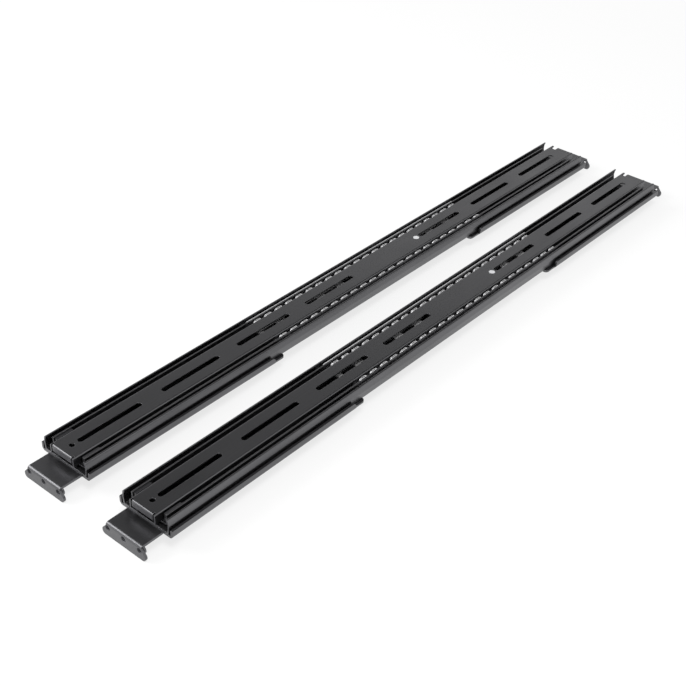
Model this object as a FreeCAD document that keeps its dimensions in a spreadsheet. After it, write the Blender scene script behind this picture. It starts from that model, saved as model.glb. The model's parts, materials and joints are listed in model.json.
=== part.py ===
import FreeCAD, Part
import os
import Sketcher

# A pair of server slide rails. Each rail is a three-section ball-bearing slide on two sheet-metal
# brackets: a fixed outer channel, a middle channel and an inner member that nest in one another and
# run on caged balls. The rear bracket slides on its studs to suit the depth of the rack.
#
# Frame: X runs from the front flanges to the rear ones, Y across the pair, Z up. The origin is the
# middle of the pair at the height of the flanges' lower edges. Every piece of a rail is drawn in that
# rail's own frame, where X = 0 is the front face of its front flange, Y = 0 its centre line and
# Z = 0 the top of its bracket plates, and is then set in place.

doc = FreeCAD.newDocument("ServerRailPair")

# ---------------------------------------------------------------------------------------------
# Driving dimensions, in millimetres
# ---------------------------------------------------------------------------------------------
SIZES = [
    ("mount_span", 694.0, "front face of the front flange to rear face of the rear flange, closed"),
    ("rail_spacing", 84.2, "centre line to centre line of the two rails"),
    ("rail_height", 12.7, "bracket plate to the top of the slide"),
    # outer channel
    ("outer_start", 20.5, "front end of the outer channel"),
    ("outer_length", 650.0, "length of the outer channel"),
    ("outer_wall", 1.2, "sheet thickness"),
    ("foot_half", 22.4, "half width at the floor"),
    ("ridge_half", 23.3, "half width at the ball race ridge"),
    ("ridge_height", 7.1, "height of the ridge and of the outer balls"),
    ("crown_half", 22.6, "half width at the top"),
    ("lip_half", 20.95, "half width of the opening between the lips"),
    ("outer_bend", 1.3, "outside radius of its long corners"),
    # middle channel
    ("middle_start", 24.0, "front end of the middle channel"),
    ("middle_length", 634.0, "length of the middle channel"),
    ("middle_half", 17.7, "half width over the walls"),
    ("middle_wall", 1.3, "wall thickness"),
    ("middle_web", 1.2, "web thickness"),
    ("middle_drop", 0.5, "walls' top below the top of the slide"),
    # inner member
    ("inner_start", 18.0, "front end of the inner member"),
    ("inner_length", 652.0, "length of the inner member"),
    ("inner_half", 12.7, "half width over the sides"),
    ("inner_wall", 1.2, "sheet thickness"),
    ("inner_bend", 1.3, "outside radius of its long corners"),
    ("nose_half", 10.3, "half width of the turned-down nose"),
    ("nose_depth", 5.5, "how far the nose turns down"),
    ("nose_relief", 2.4, "length of the reliefs beside the nose"),
    ("tail_notch", 6.0, "how far the web stops short of the sides at the rear"),
    ("slot_width", 4.8, "width of the mounting slots"),
    ("slot_length", 60.0, "overall length of a slot"),
    ("slot_pitch", 80.8, "pitch of the slots"),
    ("front_slot_at", 14.85, "first front slot's near end, from the inner member's front"),
    ("front_slot_count", 4, "slots in the front group"),
    ("rear_slot_at", 411.3, "first rear slot's near end, from the inner member's front"),
    ("rear_slot_count", 3, "slots in the rear group"),
    ("pilot_at", 9.5, "pilot hole, from the inner member's front"),
    ("pilot_diameter", 4.5, "pilot hole"),
    ("stop_at", 407.0, "stop rivet, from the inner member's front"),
    ("stop_shank", 3.6, "stop rivet's shank diameter"),
    ("stop_head", 5.4, "stop rivet's head diameter, flush with the web"),
    ("stop_collar", 7.0, "diameter of its collar under the web"),
    ("stop_collar_height", 0.8, "height of that collar"),
    ("rivet_play", 0.02, "stop rivet to its hole"),
    ("stop_depth", 4.0, "stop rivet's shank below the web"),
    # balls and their cages
    ("ball_play", 0.05, "clearance of a ball to each race"),
    ("inner_ball_height", 8.8, "height of the inner balls' centres"),
    ("ball_pitch", 12.65, "pitch of the inner balls"),
    ("ball_count", 22, "inner balls in one row"),
    ("outer_ball_pitch", 50.6, "pitch of the outer balls"),
    ("outer_ball_count", 6, "outer balls in one row"),
    ("ball_flats", 0.9, "a facetted ball's width across its flats, of its diameter"),
    ("pocket_play", 0.1, "clearance of a ball in its pocket"),
    ("cage_start", 224.5, "front end of the cages, closed"),
    ("cage_end", 7.9, "cage beyond its last ball"),
    ("cage_wall", 0.7, "sheet thickness of the cages"),
    ("outer_cage_gap", 0.35, "outer cage's floor to the webs below and above it"),
    ("inner_cage_gap", 0.25, "inner cage's floor to the web below and the sides above it"),
    ("inner_cage_drop", 1.5, "inner cage's top below the top of the slide"),
    ("outer_cage_drop", 2.6, "outer cage's top below the top of the slide"),
    ("notch_width", 3.2, "notch between two ball pockets"),
    ("notch_floor", 2.0, "notch floor above the cage's floor"),
    ("window_length", 15.8, "window in a cage's floor"),
    ("window_half", 8.5, "half width of that window"),
    # guide and bumper in the middle channel
    ("guide_play", 1.2, "guide's cheeks to the inner member"),
    ("guide_at", 1.0, "guide from the middle channel's front"),
    ("guide_length", 15.0, "guide block"),
    ("guide_top_drop", 1.6, "top of its cheeks below the top of the slide"),
    ("bumper_length", 17.0, "bumper's pad"),
    ("lug_at", 2.5, "bumper's lug from the pad's front"),
    ("lug_length", 7.0, "length of the lug"),
    ("lug_half", 5.2, "half width of the lug"),
    ("lug_top", 9.6, "height of the lug's top"),
    # brackets
    ("bracket_sheet", 2.0, "sheet thickness"),
    ("bracket_gap", 1.2, "bracket walls to the outer channel's ridge"),
    ("bracket_wall_top", 5.0, "bracket walls above the plate's top"),
    ("bracket_bend", 3.0, "outside radius of the bracket's long bends"),
    ("tail_half", 25.0, "half width of the plate's tail"),
    ("tail_length", 12.5, "plate's tail beyond the walls"),
    ("tail_corner", 3.5, "corner radius of the tail"),
    ("wall_corner", 4.0, "corner radius at the walls' inboard ends"),
    ("front_plate_end", 223.5, "inboard end of the front bracket"),
    ("rear_plate_start", 477.5, "inboard end of the rear bracket"),
    ("front_tongue", 20.5, "front flange's face to the bracket's shoulders"),
    ("rear_tongue", 19.0, "rear flange's face to the bracket's shoulders"),
    ("tongue_half", 17.6, "half width of the tongue"),
    ("flange_bend", 2.4, "outside radius of the bend into a flange"),
    ("flange_drop", 11.6, "flange's lower edge below the plate's top"),
    ("ear_half", 21.6, "half width of a flange"),
    ("ear_shoulder", 2.4, "start of a flange's flare below the plate's top"),
    ("ear_full", 7.0, "end of that flare below the plate's top"),
    ("ear_corner", 3.0, "corner radius of a flange"),
    ("rack_pitch", 15.875, "hole pitch of a rack post"),
    ("rack_hole_count", 3, "threaded holes in a flange"),
    ("rack_hole_drop", 4.3, "those holes below the plate's top"),
    ("rack_hole", 4.5, "bore of those holes"),
    ("collar_diameter", 7.3, "drawn collar round each of those holes"),
    ("collar_height", 1.3, "collar behind the flange"),
    # studs under the brackets
    ("stud_diameter", 4.0, "shank"),
    ("stud_clearance", 0.25, "shank to its hole or slot in the bracket, all round"),
    ("stud_head", 7.6, "head diameter"),
    ("stud_head_height", 2.2, "head height"),
    ("front_stud_at", 55.0, "first front stud"),
    ("front_stud_pitch", 120.0, "pitch of the front studs"),
    ("front_stud_count", 2, "front studs"),
    ("rear_stud_at", 582.0, "first rear stud"),
    ("rear_stud_pitch", 68.0, "pitch of the rear studs"),
    ("rear_stud_count", 2, "rear studs"),
    ("depth_travel", 80.0, "travel of the rear bracket"),
]

sheet = doc.addObject("Spreadsheet::Sheet", "Sizes")
for row, (alias, value, note) in enumerate(SIZES, start=1):
    sheet.set(f"A{row}", note)
    sheet.set(f"B{row}", str(value))
    sheet.setAlias(f"B{row}", alias)
doc.recompute()


def size(text):
    """An expression in which each driving dimension is written by its bare name."""
    for alias in sorted((entry[0] for entry in SIZES), key=len, reverse=True):
        text = text.replace(f"<{alias}>", f"Sizes.{alias}")
    return text


def number(text):
    """The present value of such an expression."""
    value = sheet.evalExpression(size(text))
    return float(getattr(value, "Value", value))


# Heights and widths that follow from the driving dimensions
OUTER_FACE = "(<ridge_half> - <outer_wall>)"
OUTER_CAGE_FLOOR = "(<outer_wall> + <outer_cage_gap>)"
MIDDLE_BOTTOM = "(<outer_wall> + <cage_wall> + 2 * <outer_cage_gap>)"
MIDDLE_FLOOR = f"({MIDDLE_BOTTOM} + <middle_web>)"
MIDDLE_FACE = "(<middle_half> - <middle_wall>)"
MIDDLE_TOP = "(<rail_height> - <middle_drop>)"
INNER_CAGE_FLOOR = f"({MIDDLE_FLOOR} + <inner_cage_gap>)"
INNER_BOTTOM = f"({INNER_CAGE_FLOOR} + <cage_wall> + <inner_cage_gap>)"
STRAP_TOP = f"({INNER_BOTTOM} - <inner_cage_gap>)"
INNER_ROW = f"((<inner_half> + {MIDDLE_FACE}) / 2)"
OUTER_ROW = f"((<middle_half> + {OUTER_FACE}) / 2)"
INNER_BALL = f"({MIDDLE_FACE} - <inner_half> - 2 * <ball_play>)"
OUTER_BALL = f"({OUTER_FACE} - <middle_half> - 2 * <ball_play>)"
CAGE_LENGTH = "((<ball_count> - 1) * <ball_pitch> + 2 * <cage_end>)"
FIRST_BALL = "(<cage_start> + <cage_end>)"
FIRST_OUTER_BALL = "(<cage_start> + <cage_end> + <ball_pitch> / 2)"
BRACKET_FACE = "(<ridge_half> + <bracket_gap>)"
BRACKET_HALF = f"({BRACKET_FACE} + <bracket_sheet>)"


# ---------------------------------------------------------------------------------------------
# Sketches and features
# ---------------------------------------------------------------------------------------------
AXES = {"X": FreeCAD.Vector(1, 0, 0), "Y": FreeCAD.Vector(0, 1, 0), "Z": FreeCAD.Vector(0, 0, 1)}


def new_body(name):
    body = doc.addObject("PartDesign::Body", name)
    body.Label = name
    return body


def new_sketch(body, name, plane, height="0"):
    """A sketch on one of the body's own origin planes, moved along its normal by height."""
    sketch = body.newObject("Sketcher::SketchObject", f"{body.Name}_{name}_sketch")
    support = [item for item in body.Origin.OriginFeatures if item.Role == plane][0]
    sketch.AttachmentSupport = [(support, "")]
    sketch.MapMode = "FlatFace"
    sketch.setExpression("AttachmentOffset.Base.z", size(height))
    sketch.Visibility = False
    return sketch


def pin_point(sketch, geometry, point, across, along):
    """Dimension one point from the sketch's origin."""
    for kind, text in (("DistanceX", across), ("DistanceY", along)):
        index = sketch.addConstraint(Sketcher.Constraint(kind, -1, 1, geometry, point, number(text)))
        sketch.setExpression(f"Constraints[{index}]", size(text))


def draw_outline(sketch, corners):
    """A closed outline of straight edges through the corners, each a pair of expressions."""
    points = [FreeCAD.Vector(number(a), number(b), 0) for a, b in corners]
    first = sketch.GeometryCount
    for start, end in zip(points, points[1:] + points[:1]):
        sketch.addGeometry(Part.LineSegment(start, end), False)
    for step, (across, along) in enumerate(corners):
        following = first + (step + 1) % len(corners)
        sketch.addConstraint(Sketcher.Constraint("Coincident", first + step, 2, following, 1))
        pin_point(sketch, first + step, 1, across, along)


def draw_circle(sketch, across, along, diameter):
    centre = FreeCAD.Vector(number(across), number(along), 0)
    circle = Part.Circle(centre, FreeCAD.Vector(0, 0, 1), number(diameter) / 2)
    geometry = sketch.addGeometry(circle, False)
    pin_point(sketch, geometry, 3, across, along)
    index = sketch.addConstraint(Sketcher.Constraint("Diameter", geometry, number(diameter)))
    sketch.setExpression(f"Constraints[{index}]", size(diameter))


def draw_slot(sketch, start, end, along, width):
    """A round-ended slot whose overall length runs from start to end."""
    radius = f"({width}) / 2"
    left, right, middle, reach = number(start), number(end), number(along), number(radius)
    normal = FreeCAD.Vector(0, 0, 1)
    quarter = 1.5707963267948966
    near = Part.Circle(FreeCAD.Vector(left + reach, middle, 0), normal, reach)
    far = Part.Circle(FreeCAD.Vector(right - reach, middle, 0), normal, reach)
    near_arc = sketch.addGeometry(Part.ArcOfCircle(near, quarter, 3 * quarter), False)
    far_arc = sketch.addGeometry(Part.ArcOfCircle(far, -quarter, quarter), False)
    upper = sketch.addGeometry(Part.LineSegment(
        FreeCAD.Vector(left + reach, middle + reach, 0),
        FreeCAD.Vector(right - reach, middle + reach, 0)), False)
    lower = sketch.addGeometry(Part.LineSegment(
        FreeCAD.Vector(left + reach, middle - reach, 0),
        FreeCAD.Vector(right - reach, middle - reach, 0)), False)
    sketch.addConstraint(Sketcher.Constraint("Tangent", near_arc, 1, upper, 1))
    sketch.addConstraint(Sketcher.Constraint("Tangent", near_arc, 2, lower, 1))
    sketch.addConstraint(Sketcher.Constraint("Tangent", far_arc, 2, upper, 2))
    sketch.addConstraint(Sketcher.Constraint("Tangent", far_arc, 1, lower, 2))
    pin_point(sketch, near_arc, 3, f"{start} + {radius}", along)
    pin_point(sketch, far_arc, 3, f"{end} - {radius}", along)
    index = sketch.addConstraint(Sketcher.Constraint("Radius", near_arc, reach))
    sketch.setExpression(f"Constraints[{index}]", size(radius))


def pad(body, name, sketch, length):
    feature = body.newObject("PartDesign::Pad", f"{body.Name}_{name}")
    feature.Profile = sketch
    feature.setExpression("Length", size(length))
    body.Tip = feature
    doc.recompute()
    return feature


def revolve(body, name, sketch):
    """A full turn about the sketch's own second axis."""
    feature = body.newObject("PartDesign::Revolution", f"{body.Name}_{name}")
    feature.Profile = sketch
    feature.ReferenceAxis = (sketch, ["V_Axis"])
    feature.Angle = 360
    body.Tip = feature
    doc.recompute()
    return feature


def pocket(body, name, sketch, depth, both_ways=False):
    """A pocket that runs down from its sketch, or the same depth in all to both sides of it."""
    before = body.Tip.Shape.Volume
    feature = body.newObject("PartDesign::Pocket", f"{body.Name}_{name}")
    feature.Profile = sketch
    feature.setExpression("Length", size(depth))
    if both_ways:
        feature.SideType = "Symmetric"
    body.Tip = feature
    doc.recompute()
    if feature.Shape.Volume > before - 0.01:
        raise ValueError(f"{feature.Name} cuts nothing")
    return feature


def repeat_along(body, name, features, sketch, pitch, count):
    """A row of the same features along the first axis of their sketch."""
    pattern = body.newObject("PartDesign::LinearPattern", f"{body.Name}_{name}")
    pattern.Originals = features
    pattern.Direction = (sketch, ["H_Axis"])
    pattern.setExpression("Length", size(f"({pitch}) * (({count}) - 1)"))
    pattern.setExpression("Occurrences", size(count))
    body.Tip = pattern
    doc.recompute()
    return pattern


def mirror_across(body, name, features):
    """The same features on the other side of the rail's centre plane."""
    support = [item for item in body.Origin.OriginFeatures if item.Role == "XZ_Plane"][0]
    mirror = body.newObject("PartDesign::Mirrored", f"{body.Name}_{name}")
    mirror.Originals = features
    mirror.MirrorPlane = (support, [""])
    body.Tip = mirror
    doc.recompute()
    return mirror


def edges_at(body, run, x=None, y=None, z=None):
    """Names of the straight edges that run along one axis at the stated X, distance from the centre
    plane and Z."""
    wanted = [None if text is None else number(text) for text in (x, y, z)]
    names = []
    for index, edge in enumerate(body.Tip.Shape.Edges, start=1):
        ends = [vertex.Point for vertex in edge.Vertexes]
        if len(ends) != 2:
            continue
        step = ends[1] - ends[0]
        here = abs(abs(step.dot(AXES[run])) - step.Length) < 1e-6
        for point in ends:
            for value, place in zip((point.x, abs(point.y), point.z), wanted):
                here = here and (place is None or abs(value - place) < 1e-4)
        if here:
            names.append(f"Edge{index}")
    return names


def fillet(body, name, edges, radius):
    """A fillet on the named edges."""
    base = body.Tip
    feature = body.newObject("PartDesign::Fillet", f"{body.Name}_{name}")
    feature.Base = (base, edges)
    feature.setExpression("Radius", size(radius))
    body.Tip = feature
    doc.recompute()
    return feature


def both_sides(half):
    """One side's corners and, after them in reverse order, their mirror images."""
    return half + [(f"-({across})", along) for across, along in reversed(half)]


# ---------------------------------------------------------------------------------------------
# Pieces of one rail
# ---------------------------------------------------------------------------------------------
def outer_rail(name):
    """C-shaped channel: floor, walls that bulge to a ball race ridge, lips turned in at the top."""
    body = new_body(name)
    section = new_sketch(body, "section", "YZ_Plane", "<outer_start>")
    draw_outline(section, both_sides([
        ("<foot_half>", "0"),
        ("<ridge_half>", "<ridge_height>"),
        ("<crown_half>", "<rail_height>"),
        ("<lip_half>", "<rail_height>"),
        ("<lip_half>", "<rail_height> - <outer_wall>"),
        ("<crown_half> - <outer_wall>", "<rail_height> - <outer_wall>"),
        (OUTER_FACE, "<ridge_height>"),
        ("<foot_half> - <outer_wall>", "<outer_wall>"),
    ]))
    pad(body, "channel", section, "<outer_length>")
    corners = edges_at(body, "X", y="<foot_half>", z="0")
    corners += edges_at(body, "X", y="<crown_half>", z="<rail_height>")
    fillet(body, "corners", corners, "<outer_bend>")
    hollows = edges_at(body, "X", y="<foot_half> - <outer_wall>", z="<outer_wall>")
    hollows += edges_at(body, "X", y="<crown_half> - <outer_wall>", z="<rail_height> - <outer_wall>")
    fillet(body, "hollows", hollows, "<outer_bend> / 4")
    fillet(body, "race_ridge", edges_at(body, "X", y="<ridge_half>", z="<ridge_height>"), "3 * <outer_wall>")
    return body


def middle_rail(name):
    """Plain channel whose walls carry the outer balls outside and the inner balls inside."""
    body = new_body(name)
    section = new_sketch(body, "section", "YZ_Plane", "<middle_start>")
    draw_outline(section, both_sides([
        ("<middle_half>", MIDDLE_BOTTOM),
        ("<middle_half>", MIDDLE_TOP),
        (MIDDLE_FACE, MIDDLE_TOP),
        (MIDDLE_FACE, MIDDLE_FLOOR),
    ]))
    pad(body, "channel", section, "<middle_length>")
    fillet(body, "corners", edges_at(body, "X", y="<middle_half>", z=MIDDLE_BOTTOM), "<middle_web> + <middle_drop>")
    fillet(body, "rims", edges_at(body, "X", y="<middle_half>", z=MIDDLE_TOP), "<middle_wall> / 3")
    return body


def inner_rail(name):
    """Inner member: flat web with slots, two sides turned down and a nose turned down in front."""
    body = new_body(name)
    section = new_sketch(body, "section", "YZ_Plane", "<inner_start>")
    draw_outline(section, both_sides([
        ("<inner_half> - <inner_wall>", "<rail_height> - <inner_wall>"),
        ("<inner_half> - <inner_wall>", INNER_BOTTOM),
        ("<inner_half>", INNER_BOTTOM),
        ("<inner_half>", "<rail_height>"),
    ]))
    pad(body, "channel", section, "<inner_length>")
    fillet(body, "corners", edges_at(body, "X", y="<inner_half>", z="<rail_height>"), "<inner_bend>")

    nose = new_sketch(body, "nose", "YZ_Plane", "<inner_start>")
    draw_outline(nose, both_sides([
        ("<nose_half>", "<rail_height> - <nose_depth>"),
        ("<nose_half>", "<rail_height>"),
    ]))
    pad(body, "nose", nose, "<inner_wall>")
    relief = new_sketch(body, "relief", "XY_Plane", "<rail_height>")
    draw_outline(relief, [
        ("<inner_start> - <inner_wall>", "<nose_half>"),
        ("<inner_start> + <nose_relief>", "<nose_half>"),
        ("<inner_start> + <nose_relief>", "<inner_half> - <inner_wall>"),
        ("<inner_start> - <inner_wall>", "<inner_half> - <inner_wall>"),
    ])
    cut = pocket(body, "relief", relief, "2 * <inner_wall>")
    mirror_across(body, "reliefs", [cut])
    fillet(body, "nose_bend", edges_at(body, "Y", x="<inner_start>", y="<nose_half>", z="<rail_height>"),
           "<inner_bend>")
    tail = new_sketch(body, "tail", "XY_Plane", "<rail_height>")
    draw_outline(tail, [
        ("<inner_start> + <inner_length> - <tail_notch>", "-<nose_half>"),
        ("<inner_start> + <inner_length> + <inner_wall>", "-<nose_half>"),
        ("<inner_start> + <inner_length> + <inner_wall>", "<nose_half>"),
        ("<inner_start> + <inner_length> - <tail_notch>", "<nose_half>"),
    ])
    pocket(body, "tail", tail, "2 * <inner_wall>")

    for group in ("front", "rear"):
        start = f"<inner_start> + <{group}_slot_at>"
        slots = new_sketch(body, f"{group}_slots", "XY_Plane", "<rail_height>")
        draw_slot(slots, start, f"{start} + <slot_length>", "0", "<slot_width>")
        slot = pocket(body, f"{group}_slot", slots, "2 * <inner_wall>")
        repeat_along(body, f"{group}_slot_row", [slot], slots, "<slot_pitch>", f"<{group}_slot_count>")

    for hole, at, diameter in (("pilot", "<pilot_at>", "<pilot_diameter>"),
                               ("stop", "<stop_at>", "<stop_head> + 2 * <rivet_play>")):
        circle = new_sketch(body, f"{hole}_hole", "XY_Plane", "<rail_height>")
        draw_circle(circle, f"<inner_start> + {at}", "0", diameter)
        pocket(body, f"{hole}_hole", circle, "2 * <inner_wall>")
    return body


def stop_rivet(name):
    """Rivet set flush in the inner member's web; its shank hangs below the web as a stop pin."""
    body = new_body(name)
    profile = new_sketch(body, "profile", "XZ_Plane")
    profile.setExpression("AttachmentOffset.Base.x", size("<inner_start> + <stop_at>"))
    draw_outline(profile, [
        ("0", "<rail_height> - <inner_wall> - <stop_depth>"),
        ("<stop_shank> / 2", "<rail_height> - <inner_wall> - <stop_depth>"),
        ("<stop_shank> / 2", "<rail_height> - <inner_wall> - <stop_collar_height>"),
        ("<stop_collar> / 2", "<rail_height> - <inner_wall> - <stop_collar_height>"),
        ("<stop_collar> / 2", "<rail_height> - <inner_wall>"),
        ("<stop_head> / 2", "<rail_height> - <inner_wall>"),
        ("<stop_head> / 2", "<rail_height>"),
        ("0", "<rail_height>"),
    ])
    revolve(body, "rivet", profile)
    return body


def ball_cage(name, row, floor, drop, ball, height, pitch, count, first, open_top):
    """U-shaped strip of sheet: ball pockets in both sides, windows in its floor and, where its top
    is open, notches that leave one tab round each ball."""
    body = new_body(name)
    half, top = f"({row} + <cage_wall> / 2)", f"(<rail_height> - {drop})"
    section = new_sketch(body, "section", "YZ_Plane", "<cage_start>")
    draw_outline(section, both_sides([
        (half, floor),
        (half, top),
        (f"{half} - <cage_wall>", top),
        (f"{half} - <cage_wall>", f"{floor} + <cage_wall>"),
    ]))
    pad(body, "strip", section, CAGE_LENGTH)

    reach = f"({ball} / 2 + <pocket_play>)"
    pockets = new_sketch(body, "pockets", "XZ_Plane")
    draw_outline(pockets, [
        (f"{first} - {reach}", f"{height} - {reach}"),
        (f"{first} + {reach}", f"{height} - {reach}"),
        (f"{first} + {reach}", f"{height} + {reach}"),
        (f"{first} - {reach}", f"{height} + {reach}"),
    ])
    window = pocket(body, "pocket", pockets, f"3 * {half}", both_ways=True)
    repeat_along(body, "pocket_row", [window], pockets, pitch, count)

    if open_top:
        near = f"{first} + ({pitch} - <notch_width>) / 2"
        notches = new_sketch(body, "notches", "XZ_Plane")
        draw_outline(notches, [
            (near, f"{floor} + <notch_floor>"),
            (f"{near} + <notch_width>", f"{floor} + <notch_floor>"),
            (f"{near} + <notch_width>", f"{top} + <cage_wall>"),
            (near, f"{top} + <cage_wall>"),
        ])
        notch = pocket(body, "notch", notches, f"3 * {half}", both_ways=True)
        repeat_along(body, "notch_row", [notch], notches, pitch, f"{count} - 1")

    centre = f"{FIRST_BALL} + <ball_pitch> / 2"
    windows = new_sketch(body, "windows", "XY_Plane", f"{floor} + <cage_wall>")
    draw_outline(windows, [
        (f"{centre} - <window_length> / 2", "-<window_half>"),
        (f"{centre} + <window_length> / 2", "-<window_half>"),
        (f"{centre} + <window_length> / 2", "<window_half>"),
        (f"{centre} - <window_length> / 2", "<window_half>"),
    ])
    opening = pocket(body, "window", windows, "2 * <cage_wall>")
    repeat_along(body, "window_row", [opening], windows, "2 * <ball_pitch>", "floor(<ball_count> / 2)")
    return body


def ball_rows(name, row, ball, height, pitch, count, first):
    """Two rows of loose balls, one on each side of the rail. Each is a cube with its edges cut back
    until all of its edges are equal, a ball of 26 faces, which keeps the long rows light."""
    across = number(ball) * number("<ball_flats>")
    cube = Part.makeBox(across, across, across, FreeCAD.Vector(1, 1, 1) * (-across / 2))
    one = cube.makeChamfer(across * (1 - 1 / (1 + 2 ** 0.5)) / 2, cube.Edges)
    balls = []
    for side in (1, -1):
        for step in range(int(number(count))):
            copy = one.copy()
            copy.translate(FreeCAD.Vector(number(first) + step * number(pitch), side * number(row),
                                          number(height)))
            balls.append(copy)
    rows = doc.addObject("Part::Feature", name)
    rows.Label = name
    rows.Shape = Part.makeCompound(balls)
    return rows


def front_guide(name):
    """Moulded saddle at the front of the middle channel: a strap on its web, a cheek in each track."""
    body = new_body(name)
    face = "(<inner_half> + <guide_play>)"
    section = new_sketch(body, "section", "YZ_Plane", "<middle_start> + <guide_at>")
    draw_outline(section, both_sides([
        (MIDDLE_FACE, MIDDLE_FLOOR),
        (MIDDLE_FACE, "<rail_height> - <guide_top_drop>"),
        (face, "<rail_height> - <guide_top_drop>"),
        (face, STRAP_TOP),
    ]))
    pad(body, "saddle", section, "<guide_length>")
    return body


def rear_bumper(name):
    """Moulded pad on the middle channel's web at its rear end; its lug stands up in the inner member."""
    body = new_body(name)
    start = "(<middle_start> + <middle_length> - <bumper_length>)"
    section = new_sketch(body, "section", "YZ_Plane", start)
    draw_outline(section, both_sides([
        (MIDDLE_FACE, MIDDLE_FLOOR),
        (MIDDLE_FACE, STRAP_TOP),
    ]))
    pad(body, "pad", section, "<bumper_length>")
    lug = new_sketch(body, "lug", "YZ_Plane", f"{start} + <lug_at>")
    draw_outline(lug, both_sides([
        ("<lug_half>", MIDDLE_FLOOR),
        ("<lug_half>", "<lug_top>"),
    ]))
    pad(body, "lug", lug, "<lug_length>")
    return body


def bracket(name, face, facing, shoulder, wall_end, plate_end, openings):
    """Sheet-metal bracket: plate with two walls, a tongue, and a flange turned down at its end.
    Facing is front where the flange stands ahead of the plate and rear where it stands behind it."""
    body = new_body(name)
    if facing == "front":
        flange_from = face
        collar_from = f"{face} + <bracket_sheet>"
        bore_from = f"{collar_from} + <collar_height>"
    else:
        flange_from = f"{face} - <bracket_sheet>"
        collar_from = f"{flange_from} - <collar_height>"
        bore_from = face

    half_plate = [
        (plate_end, "<tail_half>"),
        (wall_end, "<tail_half>"),
        (wall_end, BRACKET_HALF),
        (shoulder, BRACKET_HALF),
        (shoulder, "<tongue_half>"),
        (face, "<tongue_half>"),
    ]
    plate = new_sketch(body, "plate", "XY_Plane", "-<bracket_sheet>")
    draw_outline(plate, half_plate + [(along, f"-({out})") for along, out in reversed(half_plate)])
    pad(body, "plate", plate, "<bracket_sheet>")

    wall = new_sketch(body, "wall", "XZ_Plane", f"-{BRACKET_HALF}")
    draw_outline(wall, [
        (shoulder, "-<bracket_sheet>"),
        (wall_end, "-<bracket_sheet>"),
        (wall_end, "<bracket_wall_top>"),
        (shoulder, "<bracket_wall_top>"),
    ])
    side = pad(body, "wall", wall, "<bracket_sheet>")
    mirror_across(body, "walls", [side])

    flange = new_sketch(body, "flange", "YZ_Plane", flange_from)
    draw_outline(flange, both_sides([
        ("<tongue_half>", "0"),
        ("<tongue_half>", "-<ear_shoulder>"),
        ("<ear_half>", "-<ear_full>"),
        ("<ear_half>", "-<flange_drop>"),
    ]))
    pad(body, "flange", flange, "<bracket_sheet>")
    corners = edges_at(body, "X", y="<ear_half>", z="-<ear_full>")
    corners += edges_at(body, "X", y="<ear_half>", z="-<flange_drop>")
    fillet(body, "flange_corners", corners, "<ear_corner>")
    fillet(body, "flange_bend", edges_at(body, "Y", x=face, y="<tongue_half>", z="0"), "<flange_bend>")
    fillet(body, "tail_corners", edges_at(body, "Z", x=plate_end, y="<tail_half>"), "<tail_corner>")
    fillet(body, "wall_corners", edges_at(body, "Y", x=wall_end, z="<bracket_wall_top>"), "<wall_corner>")
    fillet(body, "long_bends", edges_at(body, "X", y=BRACKET_HALF, z="-<bracket_sheet>"), "<bracket_bend>")

    first_hole = "-<rack_pitch> * (<rack_hole_count> - 1) / 2"
    collar = new_sketch(body, "collar", "YZ_Plane", collar_from)
    draw_circle(collar, first_hole, "-<rack_hole_drop>", "<collar_diameter>")
    drawn = pad(body, "collar", collar, "<collar_height>")
    repeat_along(body, "collars", [drawn], collar, "<rack_pitch>", "<rack_hole_count>")
    bore = new_sketch(body, "bore", "YZ_Plane", bore_from)
    draw_circle(bore, first_hole, "-<rack_hole_drop>", "<rack_hole>")
    hole = pocket(body, "bore", bore, "2 * <bracket_sheet> + <collar_height>")
    repeat_along(body, "bores", [hole], bore, "<rack_pitch>", "<rack_hole_count>")

    width = "(<stud_diameter> + 2 * <stud_clearance>)"
    cut = new_sketch(body, "stud_openings", "XY_Plane")
    if openings == "holes":
        draw_circle(cut, "<front_stud_at>", "0", width)
        hole = pocket(body, "stud_hole", cut, "2 * <bracket_sheet>")
        repeat_along(body, "stud_holes", [hole], cut, "<front_stud_pitch>", "<front_stud_count>")
    else:
        last = "<rear_stud_at> + (<rear_stud_count> - 1) * <rear_stud_pitch>"
        draw_slot(cut, f"<rear_stud_at> - <depth_travel> - {width} / 2", f"{last} + {width} / 2", "0", width)
        pocket(body, "depth_slot", cut, "2 * <bracket_sheet>")
    return body


def bracket_studs(name, group):
    """Headed studs, welded to the floor of the outer channel, that hold a bracket's plate to it."""
    body = new_body(name)
    body.AllowCompound = True
    profile = new_sketch(body, "profile", "XZ_Plane")
    profile.setExpression("AttachmentOffset.Base.x", size(f"<{group}_stud_at>"))
    draw_outline(profile, [
        ("0", "-<bracket_sheet> - <stud_head_height>"),
        ("<stud_head> / 2", "-<bracket_sheet> - <stud_head_height>"),
        ("<stud_head> / 2", "-<bracket_sheet>"),
        ("<stud_diameter> / 2", "-<bracket_sheet>"),
        ("<stud_diameter> / 2", "0"),
        ("0", "0"),
    ])
    stud = revolve(body, "stud", profile)
    repeat_along(body, "studs", [stud], profile, f"<{group}_stud_pitch>", f"<{group}_stud_count>")
    return body


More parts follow.
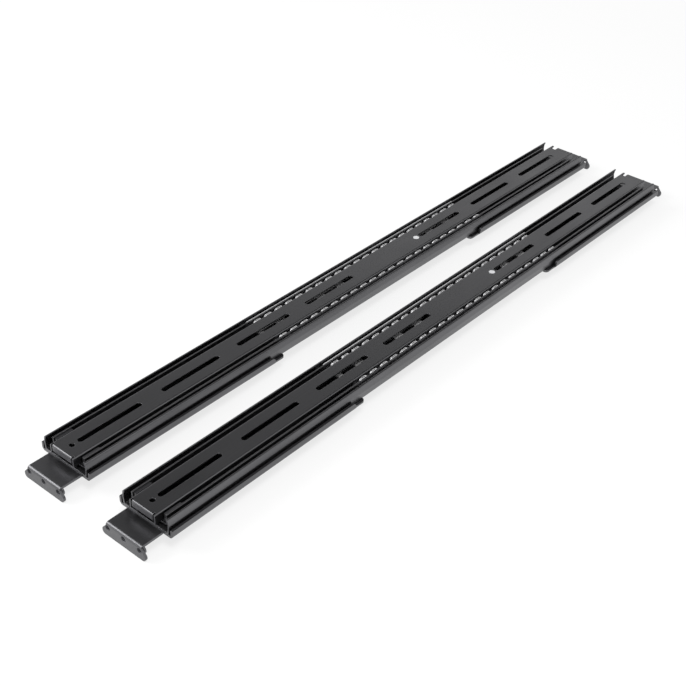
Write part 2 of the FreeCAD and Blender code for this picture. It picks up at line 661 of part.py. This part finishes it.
# ---------------------------------------------------------------------------------------------
# The pair
# ---------------------------------------------------------------------------------------------
def build_rail(side, across):
    """All pieces of one rail, set at its place across the pair."""
    pieces = [
        outer_rail(f"{side}_outer_rail"),
        middle_rail(f"{side}_middle_rail"),
        inner_rail(f"{side}_inner_rail"),
        stop_rivet(f"{side}_stop_rivet"),
        ball_cage(f"{side}_inner_ball_cage", INNER_ROW, INNER_CAGE_FLOOR, "<inner_cage_drop>", INNER_BALL,
                  "<inner_ball_height>", "<ball_pitch>", "<ball_count>", FIRST_BALL, True),
        ball_rows(f"{side}_inner_balls", INNER_ROW, INNER_BALL,
                  "<inner_ball_height>", "<ball_pitch>", "<ball_count>", FIRST_BALL),
        ball_cage(f"{side}_outer_ball_cage", OUTER_ROW, OUTER_CAGE_FLOOR, "<outer_cage_drop>", OUTER_BALL,
                  "<ridge_height>", "<outer_ball_pitch>", "<outer_ball_count>", FIRST_OUTER_BALL, False),
        ball_rows(f"{side}_outer_balls", OUTER_ROW, OUTER_BALL,
                  "<ridge_height>", "<outer_ball_pitch>", "<outer_ball_count>", FIRST_OUTER_BALL),
        front_guide(f"{side}_front_guide"),
        rear_bumper(f"{side}_rear_bumper"),
        bracket(f"{side}_front_bracket", "0", "front", "<front_tongue>",
                "<front_plate_end> - <tail_length>", "<front_plate_end>", "holes"),
        bracket(f"{side}_rear_bracket", "<mount_span>", "rear", "<mount_span> - <rear_tongue>",
                "<rear_plate_start> + <tail_length>", "<rear_plate_start>", "slot"),
        bracket_studs(f"{side}_front_studs", "front"),
        bracket_studs(f"{side}_rear_studs", "rear"),
    ]
    for body in pieces:
        body.setExpression("Placement.Base.x", size("-<mount_span> / 2"))
        body.setExpression("Placement.Base.y", size(across))
        body.setExpression("Placement.Base.z", size("<flange_drop>"))
    return pieces


nodes = build_rail("left", "<rail_spacing> / 2") + build_rail("right", "-<rail_spacing> / 2")
doc.recompute()

for item in doc.Objects:
    if "Invalid" in item.State or "Error" in item.State:
        raise ValueError(f"{item.Name} did not compute: {item.State}")
for body in nodes:
    if body.Shape.isNull() or not body.Shape.isValid() or not body.Shape.Solids:
        raise ValueError(f"{body.Label} has no valid solid")

os.makedirs("parts", exist_ok=True)
for body in nodes:
    body.Shape.exportStep(f"parts/{body.Label}.step")
    box = body.Shape.BoundBox
    print(f"{body.Label}: {len(body.Shape.Solids)} solid(s), {body.Shape.Volume:.0f} mm3, "
          f"X {box.XMin:.2f} to {box.XMax:.2f}, Y {box.YMin:.2f} to {box.YMax:.2f}, "
          f"Z {box.ZMin:.2f} to {box.ZMax:.2f}")
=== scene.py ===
import json
import math
import bmesh
import bpy
from mathutils import Euler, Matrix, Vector


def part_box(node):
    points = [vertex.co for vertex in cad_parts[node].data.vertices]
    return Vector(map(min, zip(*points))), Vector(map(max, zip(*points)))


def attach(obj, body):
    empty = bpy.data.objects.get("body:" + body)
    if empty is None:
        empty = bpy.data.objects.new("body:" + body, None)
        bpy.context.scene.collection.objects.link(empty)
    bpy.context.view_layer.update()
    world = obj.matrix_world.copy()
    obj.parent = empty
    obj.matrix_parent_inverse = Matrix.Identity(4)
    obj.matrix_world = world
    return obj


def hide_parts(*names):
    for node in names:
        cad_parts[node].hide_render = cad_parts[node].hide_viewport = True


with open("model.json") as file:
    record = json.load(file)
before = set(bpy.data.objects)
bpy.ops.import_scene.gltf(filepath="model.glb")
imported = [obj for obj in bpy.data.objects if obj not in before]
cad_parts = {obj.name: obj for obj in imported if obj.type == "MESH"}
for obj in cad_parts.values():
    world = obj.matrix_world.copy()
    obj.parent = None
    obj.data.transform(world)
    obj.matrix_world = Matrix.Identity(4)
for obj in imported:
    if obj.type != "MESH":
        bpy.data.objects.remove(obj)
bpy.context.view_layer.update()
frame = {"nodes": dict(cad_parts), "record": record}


# ---------------------------------------------------------------------------------------------
# Studio: a pale floor that fades into a white room, a wide softbox on the left of the rails and a
# smaller one above their front right end. The rails stand on their flanges' lower edges, so the
# floor is at height 0.
# ---------------------------------------------------------------------------------------------
def linear(hex_colour):
    """An sRGB hex colour as the linear colour that shaders take."""
    levels = [int(hex_colour[i:i + 2], 16) / 255 for i in (1, 3, 5)]
    return [v / 12.92 if v <= 0.04045 else ((v + 0.055) / 1.055) ** 2.4 for v in levels] + [1.0]


def add_node(tree, kind, inputs=None, **settings):
    """A node with its settings, and with its inputs set to values or linked to other sockets."""
    node = tree.nodes.new(kind)
    for name, value in settings.items():
        setattr(node, name, value)
    for name, value in (inputs or {}).items():
        if isinstance(value, bpy.types.NodeSocket):
            tree.links.new(value, node.inputs[name])
        else:
            node.inputs[name].default_value = value
    return node


WHITE = linear("#FFFFFF")
ROOM_FILL = 0.50                        # strength of the room's light on matt surfaces
LOW_WALLS = 1.0                         # level of the walls as polished metal mirrors them
DARK_CEILING = 0.05                     # and of the dark screen that hangs over the far side
FAR_SIDE = (0.707, 0.707, 0.0)          # towards the rear left, away from the camera
SCREEN_FROM, SCREEN_TO = -0.10, 0.20    # the screen's near edge: a direction's lean to that side
CEILING_FROM, CEILING_TO = 0.41, 0.66   # its lower edge: the sine of the angle above the floor

room = bpy.data.worlds.new("studio_room")
room.use_nodes = True
bpy.context.scene.world = room
tree = room.node_tree
tree.nodes.clear()
way = add_node(tree, "ShaderNodeTexCoord")
height = add_node(tree, "ShaderNodeSeparateXYZ", {0: way.outputs["Generated"]})
ceiling = add_node(tree, "ShaderNodeMapRange", {
    "Value": height.outputs["Z"], "From Min": CEILING_FROM, "From Max": CEILING_TO,
    "To Min": LOW_WALLS, "To Max": DARK_CEILING}, interpolation_type="SMOOTHSTEP")
rays = add_node(tree, "ShaderNodeLightPath")
lean = add_node(tree, "ShaderNodeVectorMath", {0: way.outputs["Generated"], 1: FAR_SIDE},
                operation="DOT_PRODUCT")
screen = add_node(tree, "ShaderNodeMapRange", {
    "Value": lean.outputs["Value"], "From Min": SCREEN_FROM, "From Max": SCREEN_TO},
    interpolation_type="SMOOTHSTEP")
shade = add_node(tree, "ShaderNodeMath", {0: 1.0, 1: ceiling.outputs[0]}, operation="SUBTRACT")
shade = add_node(tree, "ShaderNodeMath", {0: shade.outputs[0], 1: screen.outputs[0]},
                 operation="MULTIPLY")
left_over = add_node(tree, "ShaderNodeMath", {0: 1.0, 1: shade.outputs[0]}, operation="SUBTRACT")
mirrored = add_node(tree, "ShaderNodeMath", {
    0: rays.outputs["Is Glossy Ray"], 1: left_over.outputs[0]}, operation="MULTIPLY")
clear = add_node(tree, "ShaderNodeMath", {
    0: rays.outputs["Is Camera Ray"], 1: rays.outputs["Is Transmission Ray"]},
    operation="MAXIMUM")
bright = add_node(tree, "ShaderNodeMath", {0: mirrored.outputs[0], 1: clear.outputs[0]},
                  operation="MAXIMUM")
other = add_node(tree, "ShaderNodeMath", {0: rays.outputs["Is Diffuse Ray"], 1: ROOM_FILL},
                 operation="MULTIPLY")
strength = add_node(tree, "ShaderNodeMath", {0: bright.outputs[0], 1: other.outputs[0]},
                    operation="MAXIMUM")
light = add_node(tree, "ShaderNodeBackground", {"Color": WHITE, "Strength": strength.outputs[0]})
add_node(tree, "ShaderNodeOutputWorld", {"Surface": light.outputs[0]})

FLOOR_REACH = 1.6           # half the floor's side
FLOOR_FADE = (0.75, 1.25)   # distances from its middle between which it fades into the room
SHADOW_LIFT = 0.75          # share of the paper's white that its shadows keep

floor_mesh = bpy.data.meshes.new("floor")
corners = [(x * FLOOR_REACH, y * FLOOR_REACH, 0.0) for x, y in ((-1, -1), (1, -1), (1, 1), (-1, 1))]
floor_mesh.from_pydata(corners, [], [(0, 1, 2, 3)])
floor = bpy.data.objects.new("floor", floor_mesh)
bpy.context.scene.collection.objects.link(floor)

floor_paper = bpy.data.materials.new("white_paper_floor")
floor_paper.use_nodes = True
tree = floor_paper.node_tree
tree.nodes.clear()
place = add_node(tree, "ShaderNodeTexCoord")
reach = add_node(tree, "ShaderNodeVectorMath", {0: place.outputs["Object"]}, operation="LENGTH")
fade = add_node(tree, "ShaderNodeMapRange", {
    "Value": reach.outputs["Value"], "From Min": FLOOR_FADE[0], "From Max": FLOOR_FADE[1]})
paper = add_node(tree, "ShaderNodeBsdfDiffuse", {"Color": WHITE})
rays = add_node(tree, "ShaderNodeLightPath")
seen = add_node(tree, "ShaderNodeMath", {
    0: rays.outputs["Is Camera Ray"], 1: rays.outputs["Is Glossy Ray"]}, operation="MAXIMUM")
seen = add_node(tree, "ShaderNodeMath", {
    0: seen.outputs[0], 1: rays.outputs["Is Transmission Ray"]}, operation="MAXIMUM")
lifted = add_node(tree, "ShaderNodeMath", {0: seen.outputs[0], 1: SHADOW_LIFT},
                  operation="MULTIPLY")
white = add_node(tree, "ShaderNodeEmission", {"Color": WHITE, "Strength": 1.0})
sheet = add_node(tree, "ShaderNodeMixShader", {
    0: lifted.outputs[0], 1: paper.outputs[0], 2: white.outputs[0]})
clear = add_node(tree, "ShaderNodeBsdfTransparent")
mixed = add_node(tree, "ShaderNodeMixShader", {
    0: fade.outputs[0], 1: sheet.outputs[0], 2: clear.outputs[0]})
add_node(tree, "ShaderNodeOutputMaterial", {"Surface": mixed.outputs[0]})
floor_mesh.materials.append(floor_paper)

SOFTBOXES = (       # name, place, the point it faces, width and height, power in watts
    ("softbox_left", (-0.75, 1.2, 0.95), (-0.1, 0.0, 0.0), (1.2, 0.8), 18.0),
    ("softbox_front", (-0.4, -0.5, 1.7), (0.0, 0.0, 0.0), (0.8, 0.7), 14.0))

for name, place, target, across, power in SOFTBOXES:
    lamp = bpy.data.lights.new(name, "AREA")
    lamp.shape = "RECTANGLE"
    lamp.size, lamp.size_y = across
    lamp.energy = power
    box = bpy.data.objects.new(name, lamp)
    box.location = place
    box.rotation_euler = (Vector(target) - Vector(place)).to_track_quat("-Z", "Y").to_euler()
    bpy.context.scene.collection.objects.link(box)


# ---------------------------------------------------------------------------------------------
# Camera: above the front right end, looking along the pair towards the rear left.
# ---------------------------------------------------------------------------------------------
SENSOR_MM = 36.0
LENS_MM = 66.087
CAMERA_AT = (-0.7259, -0.5361, 0.6109)
CAMERA_TURN = (54.359, -1.926, -49.275)     # degrees about X, Y and Z

lens = bpy.data.cameras.new("camera")
lens.sensor_width = SENSOR_MM
lens.lens = LENS_MM
camera = bpy.data.objects.new("camera", lens)
camera.location = CAMERA_AT
camera.rotation_euler = Euler([math.radians(a) for a in CAMERA_TURN], "XYZ")
bpy.context.scene.collection.objects.link(camera)
bpy.context.scene.camera = camera


# ---------------------------------------------------------------------------------------------
# Channels: cold-rolled steel strip, plated and passivated to a satin black. The rolls leave a fine
# grain along the strip; the plating leaves soft clouds a few centimetres wide.
# ---------------------------------------------------------------------------------------------
SIDES = ("left", "right")
GRAIN_MM = 0.9          # spacing of the roll grain; drawn coarser than the real 0.1 mm to show
GRAIN_DRAWN = 0.02      # along the strip it varies at this share of that rate: long streaks
GRAIN_DEPTH = 0.00002
GRAIN_RELIEF = 0.18     # share of that depth that the light shows
CLOUD_MM = 34.0         # width of the plating's clouds
CLOUD_DRAWN = 0.45      # along the strip they vary at this share of that rate
GRAIN_SHARE = 0.45      # how much the grain and the clouds each count in the unevenness
CLOUD_SHARE = 0.75
EVEN_FROM, EVEN_TO = 0.3, 0.85      # unevenness at which the finish is all dark, and all light
DARK_DULLER = 0.07      # roughness that the dark parts add, and that the light parts lose
LIGHT_SHINIER = 0.05
SHEARED_EDGE = 0.0004   # rounding of the sheared and folded edges
EDGE_SAMPLES = 4


def plated_strip(name, dark, light, polish, cloud=1.0):
    """Rolled and plated steel: streaks along X, clouds, and a roughness that follows both."""
    material = bpy.data.materials.new(name)
    material.use_nodes = True
    tree = material.node_tree
    tree.nodes.clear()
    place = add_node(tree, "ShaderNodeTexCoord")
    along = add_node(tree, "ShaderNodeMapping", {
        "Vector": place.outputs["Object"], "Scale": (GRAIN_DRAWN, 1.0, 1.0)})
    grain = add_node(tree, "ShaderNodeTexNoise", {
        "Vector": along.outputs[0], "Scale": 1000 / GRAIN_MM, "Detail": 4.0, "Roughness": 0.6})
    drift = add_node(tree, "ShaderNodeMapping", {
        "Vector": place.outputs["Object"], "Scale": (CLOUD_DRAWN, 1.0, 1.0)})
    clouds = add_node(tree, "ShaderNodeTexNoise", {
        "Vector": drift.outputs[0], "Scale": 1000 / CLOUD_MM, "Detail": 3.0, "Roughness": 0.5})
    both = add_node(tree, "ShaderNodeMath", {
        0: clouds.outputs["Fac"], 1: CLOUD_SHARE * cloud}, operation="MULTIPLY")
    both = add_node(tree, "ShaderNodeMath", {
        0: grain.outputs["Fac"], 1: GRAIN_SHARE, 2: both.outputs[0]}, operation="MULTIPLY_ADD")
    level = add_node(tree, "ShaderNodeMapRange", {
        "Value": both.outputs[0], "From Min": EVEN_FROM, "From Max": EVEN_TO})
    colour = add_node(tree, "ShaderNodeMix", {"Factor": level.outputs[0]}, data_type="RGBA")
    colour.inputs["A"].default_value = linear(dark)
    colour.inputs["B"].default_value = linear(light)
    rough = add_node(tree, "ShaderNodeMapRange", {
        "Value": both.outputs[0], "From Min": EVEN_FROM, "From Max": EVEN_TO,
        "To Min": polish + DARK_DULLER, "To Max": polish - LIGHT_SHINIER})
    edge = add_node(tree, "ShaderNodeBevel", {"Radius": SHEARED_EDGE}, samples=EDGE_SAMPLES)
    bump = add_node(tree, "ShaderNodeBump", {
        "Height": grain.outputs["Fac"], "Strength": GRAIN_RELIEF, "Distance": GRAIN_DEPTH,
        "Normal": edge.outputs[0]})
    surface = add_node(tree, "ShaderNodeBsdfPrincipled", {
        "Base Color": colour.outputs["Result"], "Roughness": rough.outputs[0],
        "Normal": bump.outputs[0], "Metallic": 1.0})
    add_node(tree, "ShaderNodeOutputMaterial", {"Surface": surface.outputs[0]})
    return material


def dress(node, material):
    """Give a shown CAD node its finish."""
    mesh = frame["nodes"][node].data
    mesh.materials.clear()
    mesh.materials.append(material)


# One plated steel drawn in two tones: the inner rail's copy is a few levels darker, which is
# painted shade on its web, and the channels' lighter tone is partly painted light on their walls.
rail_steel = plated_strip("black_plated_strip", "#606062", "#6E6E70", 0.34)
web_steel = plated_strip("black_plated_web", "#5C5C5E", "#6C6C6E", 0.33)
for side in SIDES:
    dress(f"{side}_outer_rail", rail_steel)
    dress(f"{side}_middle_rail", rail_steel)
    dress(f"{side}_inner_rail", web_steel)


# ---------------------------------------------------------------------------------------------
# Brackets: folded from 2 mm steel sheet with the same black plating, a little duller and more
# clouded.
# ---------------------------------------------------------------------------------------------
bracket_steel = plated_strip("black_plated_sheet", "#58585A", "#6C6C6E", 0.36, cloud=1.1)
for side in SIDES:
    dress(f"{side}_front_bracket", bracket_steel)
    dress(f"{side}_rear_bracket", bracket_steel)


# ---------------------------------------------------------------------------------------------
# Threads of the flanges: tapped through the sheet and the collar drawn behind it. Each is shown as
# a stack of sharp rings inside the plain bore.
# ---------------------------------------------------------------------------------------------
def row_tree():
    """Copies of the shape that is given, in a row, each a fixed step from the one before."""
    tree = bpy.data.node_groups.new("row_along_rail", "GeometryNodeTree")
    for name, kind in (("Shape", "NodeSocketGeometry"), ("Count", "NodeSocketInt"),
                       ("Step", "NodeSocketVector"), ("Finish", "NodeSocketMaterial")):
        tree.interface.new_socket(name=name, in_out="INPUT", socket_type=kind)
    tree.interface.new_socket(name="Row", in_out="OUTPUT", socket_type="NodeSocketGeometry")
    given = add_node(tree, "NodeGroupInput")
    line = add_node(tree, "GeometryNodeMeshLine", {
        "Count": given.outputs["Count"], "Offset": given.outputs["Step"]}, mode="OFFSET")
    copies = add_node(tree, "GeometryNodeInstanceOnPoints", {
        "Points": line.outputs[0], "Instance": given.outputs["Shape"]})
    real = add_node(tree, "GeometryNodeRealizeInstances", {0: copies.outputs[0]})
    finish = add_node(tree, "GeometryNodeSetMaterial", {
        "Geometry": real.outputs[0], "Material": given.outputs["Finish"]})
    add_node(tree, "NodeGroupOutput", {0: finish.outputs[0]})
    return tree


ROW = row_tree()


def mesh_object(name, build):
    """An object whose mesh is made by the function build, which is given an empty bmesh."""
    shape = bmesh.new()
    build(shape)
    mesh = bpy.data.meshes.new(name)
    shape.to_mesh(mesh)
    shape.free()
    piece = bpy.data.objects.new(name, mesh)
    bpy.context.scene.collection.objects.link(piece)
    return piece


def make_row(piece, count, step, finish):
    """Turn the piece's shape into a realised row of itself, as one plain mesh."""
    grow = piece.modifiers.new("row", "NODES")
    grow.node_group = ROW
    values = {"Count": count, "Step": step, "Finish": finish}
    for socket in ROW.interface.items_tree:
        if socket.item_type == "SOCKET" and socket.in_out == "INPUT" and socket.name in values:
            grow[socket.identifier] = values[socket.name]
    solid = piece.evaluated_get(bpy.context.evaluated_depsgraph_get())
    mesh = bpy.data.meshes.new_from_object(solid)
    piece.modifiers.clear()
    piece.data = mesh
    return piece


THREAD_PITCH = 0.0008
THREAD_DEPTH = 0.0003   # how far a crest stands in from the bore
THREAD_SIDES = 24
TAPPED_DEPTH = 0.0033   # sheet and collar together
mounts = {mount["name"]: mount for mount in frame["record"]["mounts"]}


def thread_crests(shape, centre, facing, radius, spread):
    """One thread crest in each of the three holes of a flange."""
    for y in (centre.y - spread, centre.y, centre.y + spread):
        rings = []
        for at, r in ((0.0, radius), (0.5, radius - THREAD_DEPTH), (1.0, radius)):
            x = centre.x - facing * at * THREAD_PITCH
            turn = [2 * math.pi * k / THREAD_SIDES for k in range(THREAD_SIDES)]
            rings.append([shape.verts.new((x, y + r * math.cos(a), centre.z + r * math.sin(a)))
                          for a in turn])
        for ring, following in zip(rings, rings[1:]):
            for k in range(THREAD_SIDES):
                n = (k + 1) % THREAD_SIDES
                shape.faces.new((ring[k], ring[n], following[n], following[k]))
    bmesh.ops.recalc_face_normals(shape, faces=shape.faces)
    bmesh.ops.reverse_faces(shape, faces=shape.faces)


def flange_threads(side, end, body):
    """The threads of one flange, where the record puts its holes."""
    holes = mounts[f"{side}_{end}_post_holes"]
    facing = holes["axis"][0]
    centre = Vector(holes["pos_m"])
    radius, spread = holes["dims"]["hole_r_mm"] / 1000, holes["dims"]["spacing_x_mm"] / 2000

    def crests(shape):
        thread_crests(shape, centre, facing, radius, spread)

    turns = int(TAPPED_DEPTH / THREAD_PITCH)
    threads = make_row(mesh_object(f"{side}_{end}_threads", crests), turns,
                       (-facing * THREAD_PITCH, 0, 0), tapped_steel)
    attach(threads, body)


tapped_steel = plated_strip("tapped_plated_steel", "#47474A", "#5C5C5F", 0.42)
for side in SIDES:
    flange_threads(side, "front", "fixed_rails")
    flange_threads(side, "rear", f"{side}_rear_bracket_slide")


# ---------------------------------------------------------------------------------------------
# Studs under the brackets and the stop rivet: bright zinc plated steel. The rivet is drawn near
# white and half matt: bright steel with a painted highlight.
# ---------------------------------------------------------------------------------------------
WEAR_PER_M = 900.0      # how fine the polish's unevenness is
WORN_SHINIER = 0.04     # how far it takes the roughness below and above the given polish
WORN_DULLER = 0.06
POLISHED_EDGE = 0.0003  # rounding of the edges


def bright_steel(name, colour, polish, metal=1.0):
    """Bright plated or ground steel with a faint unevenness in its polish and rounded edges.

    A metal share under 1 keeps it pale where it would otherwise mirror the dark screen.
    """
    material = bpy.data.materials.new(name)
    material.use_nodes = True
    tree = material.node_tree
    tree.nodes.clear()
    place = add_node(tree, "ShaderNodeTexCoord")
    wear = add_node(tree, "ShaderNodeTexNoise", {
        "Vector": place.outputs["Object"], "Scale": WEAR_PER_M, "Detail": 2.0})
    rough = add_node(tree, "ShaderNodeMapRange", {
        "Value": wear.outputs["Fac"], "To Min": polish - WORN_SHINIER,
        "To Max": polish + WORN_DULLER})
    edge = add_node(tree, "ShaderNodeBevel", {"Radius": POLISHED_EDGE}, samples=EDGE_SAMPLES)
    surface = add_node(tree, "ShaderNodeBsdfPrincipled", {
        "Base Color": linear(colour), "Roughness": rough.outputs[0], "Metallic": metal,
        "Normal": edge.outputs[0]})
    add_node(tree, "ShaderNodeOutputMaterial", {"Surface": surface.outputs[0]})
    return material


zinc = bright_steel("bright_zinc", "#C9CACC", 0.26)
ball_steel = bright_steel("ground_ball_steel", "#A4A5A7", 0.10)
rivet_steel_painted_highlight = bright_steel("rivet_steel_and_painted_highlight", "#E9EAEC", 0.16, metal=0.5)
for side in SIDES:
    dress(f"{side}_front_studs", zinc)
    dress(f"{side}_rear_studs", zinc)
    dress(f"{side}_stop_rivet", rivet_steel_painted_highlight)


# ---------------------------------------------------------------------------------------------
# Balls: ground steel, in two rows on each level of a rail.
# ---------------------------------------------------------------------------------------------
BALL_FLATS = 0.9        # the frame's plain balls measure this share of a ball across their flats
INNER_BALLS = 22        # balls in one row
OUTER_BALLS = 6


def ball_row(side, level, count):
    """Both rows of balls on one level of a rail, where the frame's plain balls lie."""
    low, high = (Vector(corner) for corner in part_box(f"{side}_{level}_balls"))
    inset = (high.z - low.z) / 2
    radius = inset / BALL_FLATS
    step = (high.x - low.x - 2 * inset) / (count - 1)

    def two_balls(shape):
        for y in (low.y + inset, high.y - inset):
            made = bmesh.ops.create_icosphere(shape, subdivisions=2, radius=radius)
            bmesh.ops.translate(shape, verts=made["verts"], vec=(low.x + inset, y, low.z + inset))
        for face in shape.faces:
            face.smooth = True

    row = make_row(mesh_object(f"{side}_{level}_ball_rows", two_balls), count, (step, 0, 0),
                   ball_steel)
    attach(row, f"{side}_{level}_ball_row")
    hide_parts(f"{side}_{level}_balls")


for side in SIDES:
    ball_row(side, "inner", INNER_BALLS)
    ball_row(side, "outer", OUTER_BALLS)


# ---------------------------------------------------------------------------------------------
# Cages: bright steel strip, pressed into a tray with a row of arched tabs on each side, and drawn
# near white and almost matt so that its tabs and rims carry painted highlights. Each tab has a
# round pocket that holds one ball, and its rim is flanged to a small hood over the ball.
# ---------------------------------------------------------------------------------------------
cage_steel_painted_highlight = bright_steel("bright_strip_and_painted_highlight", "#F6F6F7", 0.22, metal=0.1)
CAGE_SHEET = 0.0007
TAB_GAP = 0.0032        # gap between two tabs
TAB_CORNER = 0.0024     # radius of a tab's upper corners
TAB_FOOT = 0.3          # share of its height at which the rim has a point on each side
POCKET_PLAY = 0.0001    # how much wider than a ball a pocket is, on each side
FLOOR_BAR = 0.0095      # bar of the cage's floor between two windows
WINDOW_HALF = 0.0085    # half width of a window
HOOD_HALF = 0.0007      # half width of a tab's flanged rim
HOOD_SHEET = 0.00045    # its thickness, thinned by the drawing
HOOD_POINTS = 8         # of the rim's nine upper points, it follows these, counted from the rear
BAND = 0.0020           # how far the folded side stands above the floor in a shallow gap


def box_faces(shape, low, high):
    """A plain block between two corners."""
    made = bmesh.ops.create_cube(shape, size=1.0)["verts"]
    for vert in made:
        vert.co = Vector([lo + (v + 0.5) * (hi - lo) for lo, hi, v in zip(low, high, vert.co)])


def pierced_plate(shape, rim, hole, near, far):
    """A plate between two Y planes whose rim and round hole are given by as many points each."""
    near_rim, near_hole, far_rim, far_hole = [[shape.verts.new((x, y, z)) for x, z in ring]
                                              for y in (near, far) for ring in (rim, hole)]
    strips = ((near_rim, near_hole), (near_hole, far_hole), (far_hole, far_rim),
              (far_rim, near_rim))
    for i in range(len(rim)):
        j = (i + 1) % len(rim)
        for a, b in strips:
            shape.faces.new((a[i], a[j], b[j], b[i]))


def tab_rim(x, half, low, top):
    """Sixteen points round a tab: two rounded upper corners and a straight foot."""
    corner = [math.radians(a) for a in (0, 30, 60, 90)]
    right = [(x + half - TAB_CORNER * (1 - math.cos(a)), top - TAB_CORNER * (1 - math.sin(a)))
             for a in corner]
    left = [(2 * x - px, pz) for px, pz in reversed(right)]
    shoulder = low + (top - low) * TAB_FOOT
    foot = [(x - half, shoulder), (x - half, low), (x - half / 2, low), (x, low),
            (x + half / 2, low), (x + half, low), (x + half, shoulder)]
    return right + [(x, top)] + left + foot


def hood(shape, rim, centre, y):
    """The flanged rim of one tab: a thin band that follows the tab's outline."""
    cx, cz = centre
    rows = []
    for x, z in rim[:HOOD_POINTS]:
        reach = math.hypot(x - cx, z - cz)
        inner = ((x - cx) * (1 - HOOD_SHEET / reach) + cx,
                 (z - cz) * (1 - HOOD_SHEET / reach) + cz)
        rows.append([shape.verts.new((px, y + dy, pz)) for (px, pz), dy in
                     (((x, z), -HOOD_HALF), ((x, z), HOOD_HALF), (inner, HOOD_HALF),
                      (inner, -HOOD_HALF))])
    for row, following in zip(rows, rows[1:]):
        for k in range(4):
            shape.faces.new((row[k], row[k - 1], following[k - 1], following[k]))
    shape.faces.new(rows[0])
    shape.faces.new(reversed(rows[-1]))


def cage_unit(shape, box, start, pitch, ball, ball_height):
    """Two balls' worth of the cage: floor bar and margins, folded sides, and four pierced tabs."""
    low, high = box
    half = (high.y - low.y) / 2
    middle = (high.y + low.y) / 2
    floor_top = low.z + CAGE_SHEET
    end = start + 2 * pitch
    for near, far in ((start, start + FLOOR_BAR / 2), (end - FLOOR_BAR / 2, end)):
        box_faces(shape, (near, middle - WINDOW_HALF, low.z),
                  (far, middle + WINDOW_HALF, floor_top))
    for side in (1, -1):
        face = sorted((middle + side * half, middle + side * (half - CAGE_SHEET)))
        margin = sorted((middle + side * WINDOW_HALF, middle + side * half))
        box_faces(shape, (start, margin[0], low.z), (end, margin[1], floor_top))
        for k in (0, 1):
            x = start + (k + 0.5) * pitch
            near = start if k == 0 else x - (pitch - TAB_GAP) / 2
            far = end if k == 1 else x + (pitch - TAB_GAP) / 2
            box_faces(shape, (near, face[0], floor_top), (far, face[1], floor_top + BAND))
            rim = tab_rim(x, (pitch - TAB_GAP) / 2, floor_top + BAND, high.z)
            turn = [math.atan2(pz - ball_height, px - x) for px, pz in rim]
            hole = [(x + ball * math.cos(a), ball_height + ball * math.sin(a)) for a in turn]
            pierced_plate(shape, rim, hole, face[0], face[1])
            hood(shape, rim, (x, ball_height), (face[0] + face[1]) / 2)
    bmesh.ops.recalc_face_normals(shape, faces=shape.faces)


def inner_cage(side):
    """The cage of one rail's upper level, fitted round the balls of the frame."""
    balls = [Vector(corner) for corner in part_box(f"{side}_inner_balls")]
    cage = [Vector(corner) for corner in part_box(f"{side}_inner_ball_cage")]
    inset = (balls[1].z - balls[0].z) / 2
    pitch = (balls[1].x - balls[0].x - 2 * inset) / (INNER_BALLS - 1)
    first = balls[0].x + inset - pitch / 2

    def unit(shape):
        cage_unit(shape, cage, first, pitch, inset / BALL_FLATS + POCKET_PLAY, balls[0].z + inset)

    tray = make_row(mesh_object(f"{side}_cage", unit), INNER_BALLS // 2, (2 * pitch, 0, 0),
                    cage_steel_painted_highlight)
    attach(tray, f"{side}_inner_ball_row")
    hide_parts(f"{side}_inner_ball_cage")


for side in SIDES:
    inner_cage(side)
    dress(f"{side}_outer_ball_cage", cage_steel_painted_highlight)


# ---------------------------------------------------------------------------------------------
# Front guide and rear bumper: moulded in black nylon, slightly glossy, with a fine skin texture and
# rounded edges.
# ---------------------------------------------------------------------------------------------
SKIN_PER_M = 2500.0     # how fine the mould's skin texture is
SKIN_DEPTH = 0.00003
SKIN_RELIEF = 0.2       # share of that depth that the light shows
MOULDED_EDGE = 0.0004   # rounding of the edges
NYLON_IOR = 1.53

nylon = bpy.data.materials.new("moulded_black_nylon")
nylon.use_nodes = True
tree = nylon.node_tree
tree.nodes.clear()
place = add_node(tree, "ShaderNodeTexCoord")
skin = add_node(tree, "ShaderNodeTexNoise", {
    "Vector": place.outputs["Object"], "Scale": SKIN_PER_M})
edge = add_node(tree, "ShaderNodeBevel", {"Radius": MOULDED_EDGE}, samples=EDGE_SAMPLES)
bump = add_node(tree, "ShaderNodeBump", {
    "Height": skin.outputs["Fac"], "Strength": SKIN_RELIEF, "Distance": SKIN_DEPTH,
    "Normal": edge.outputs[0]})
surface = add_node(tree, "ShaderNodeBsdfPrincipled", {
    "Base Color": linear("#2C2C2E"), "Roughness": 0.28, "IOR": NYLON_IOR,
    "Normal": bump.outputs[0]})
add_node(tree, "ShaderNodeOutputMaterial", {"Surface": surface.outputs[0]})
for side in SIDES:
    dress(f"{side}_front_guide", nylon)
    dress(f"{side}_rear_bumper", nylon)


bpy.context.scene.view_settings.view_transform = "Standard"
